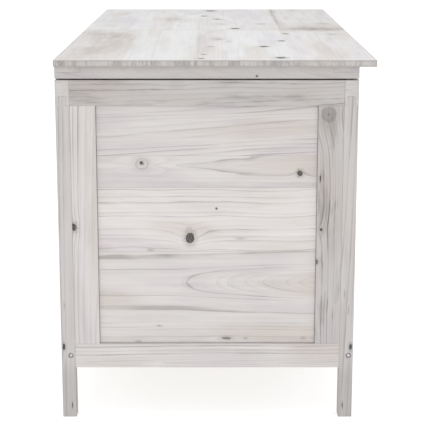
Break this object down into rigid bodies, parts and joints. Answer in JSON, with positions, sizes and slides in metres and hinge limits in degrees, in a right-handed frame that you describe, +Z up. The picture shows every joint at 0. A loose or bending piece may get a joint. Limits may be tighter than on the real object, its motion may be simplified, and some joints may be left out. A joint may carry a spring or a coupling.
{
  "type": "storage bench",
  "caption": "Storage bench: a framed and panelled wooden chest on short square legs, with a flat hinged seat as its lid.",
  "frame": {"origin": "on the floor, under the middle of the whole object's box", "axes": "+X along the bench, to the right of a person facing its front; -Y is the front; +Z is up"},
  "size_m": [0.99, 0.5008, 0.585],
  "materials": {
    "frame_wood": "white-washed softwood, matt",
    "seat_boards": "white-washed softwood boards, matt",
    "panels": "white-washed softwood boards, matt",
    "inside_wood": "softwood with a thin wash, matt",
    "hinge_steel": "zinc plated",
    "bolt_steel": "zinc plated, bright",
    "bumper_rubber": "matt"
  },
  "bodies": {
    "chest": {"leg_front_left": "frame_wood", "leg_front_right": "frame_wood", "leg_back_left": "frame_wood", "leg_back_right": "frame_wood", "top_rail_front": "frame_wood", "top_rail_back": "frame_wood", "top_rail_left": "frame_wood", "top_rail_right": "frame_wood", "bottom_rail_front": "frame_wood", "bottom_rail_back": "frame_wood", "bottom_rail_left": "frame_wood", "bottom_rail_right": "frame_wood", "stile_front_left": "frame_wood", "stile_front_middle": "frame_wood", "stile_front_right": "frame_wood", "stile_back_left": "frame_wood", "stile_back_middle": "frame_wood", "stile_back_right": "frame_wood", "stile_left_front": "frame_wood", "stile_left_back": "frame_wood", "stile_right_front": "frame_wood", "stile_right_back": "frame_wood", "panel_front_left": "panels", "panel_front_right": "panels", "panel_back_left": "panels", "panel_back_right": "panels", "panel_left": "panels", "panel_right": "panels", "floor_cleat_left": "inside_wood", "floor_cleat_right": "inside_wood", "floor_bearer": "inside_wood", "floor_board_1": "inside_wood", "floor_board_2": "inside_wood", "floor_board_3": "inside_wood", "floor_board_4": "inside_wood", "hinge_chest_leaf_left": "hinge_steel", "hinge_chest_leaf_right": "hinge_steel", "hinge_pin_left": "hinge_steel", "hinge_pin_right": "hinge_steel", "hinge_chest_screws": "hinge_steel", "floor_screws": "hinge_steel", "cleat_screws": "hinge_steel", "leg_bolts": "bolt_steel", "frame_dowels": "inside_wood", "lid_bumpers": "bumper_rubber"},
    "lid": {"lid_board_left": "seat_boards", "lid_board_right": "seat_boards", "lid_rail_front": "frame_wood", "lid_rail_back": "frame_wood", "lid_rail_left": "frame_wood", "lid_rail_right": "frame_wood", "lid_batten": "frame_wood", "hinge_lid_leaf_left": "hinge_steel", "hinge_lid_leaf_right": "hinge_steel", "hinge_lid_screws": "hinge_steel", "lid_screws": "hinge_steel"}
  },
  "joints": [
    {"name": "lid_hinge", "type": "hinge", "parent": "chest", "child": "lid", "pos_m": [0, 0.24755, 0.5538], "axis": [-1, 0, 0], "range_deg": [0, 100]}
  ]
}
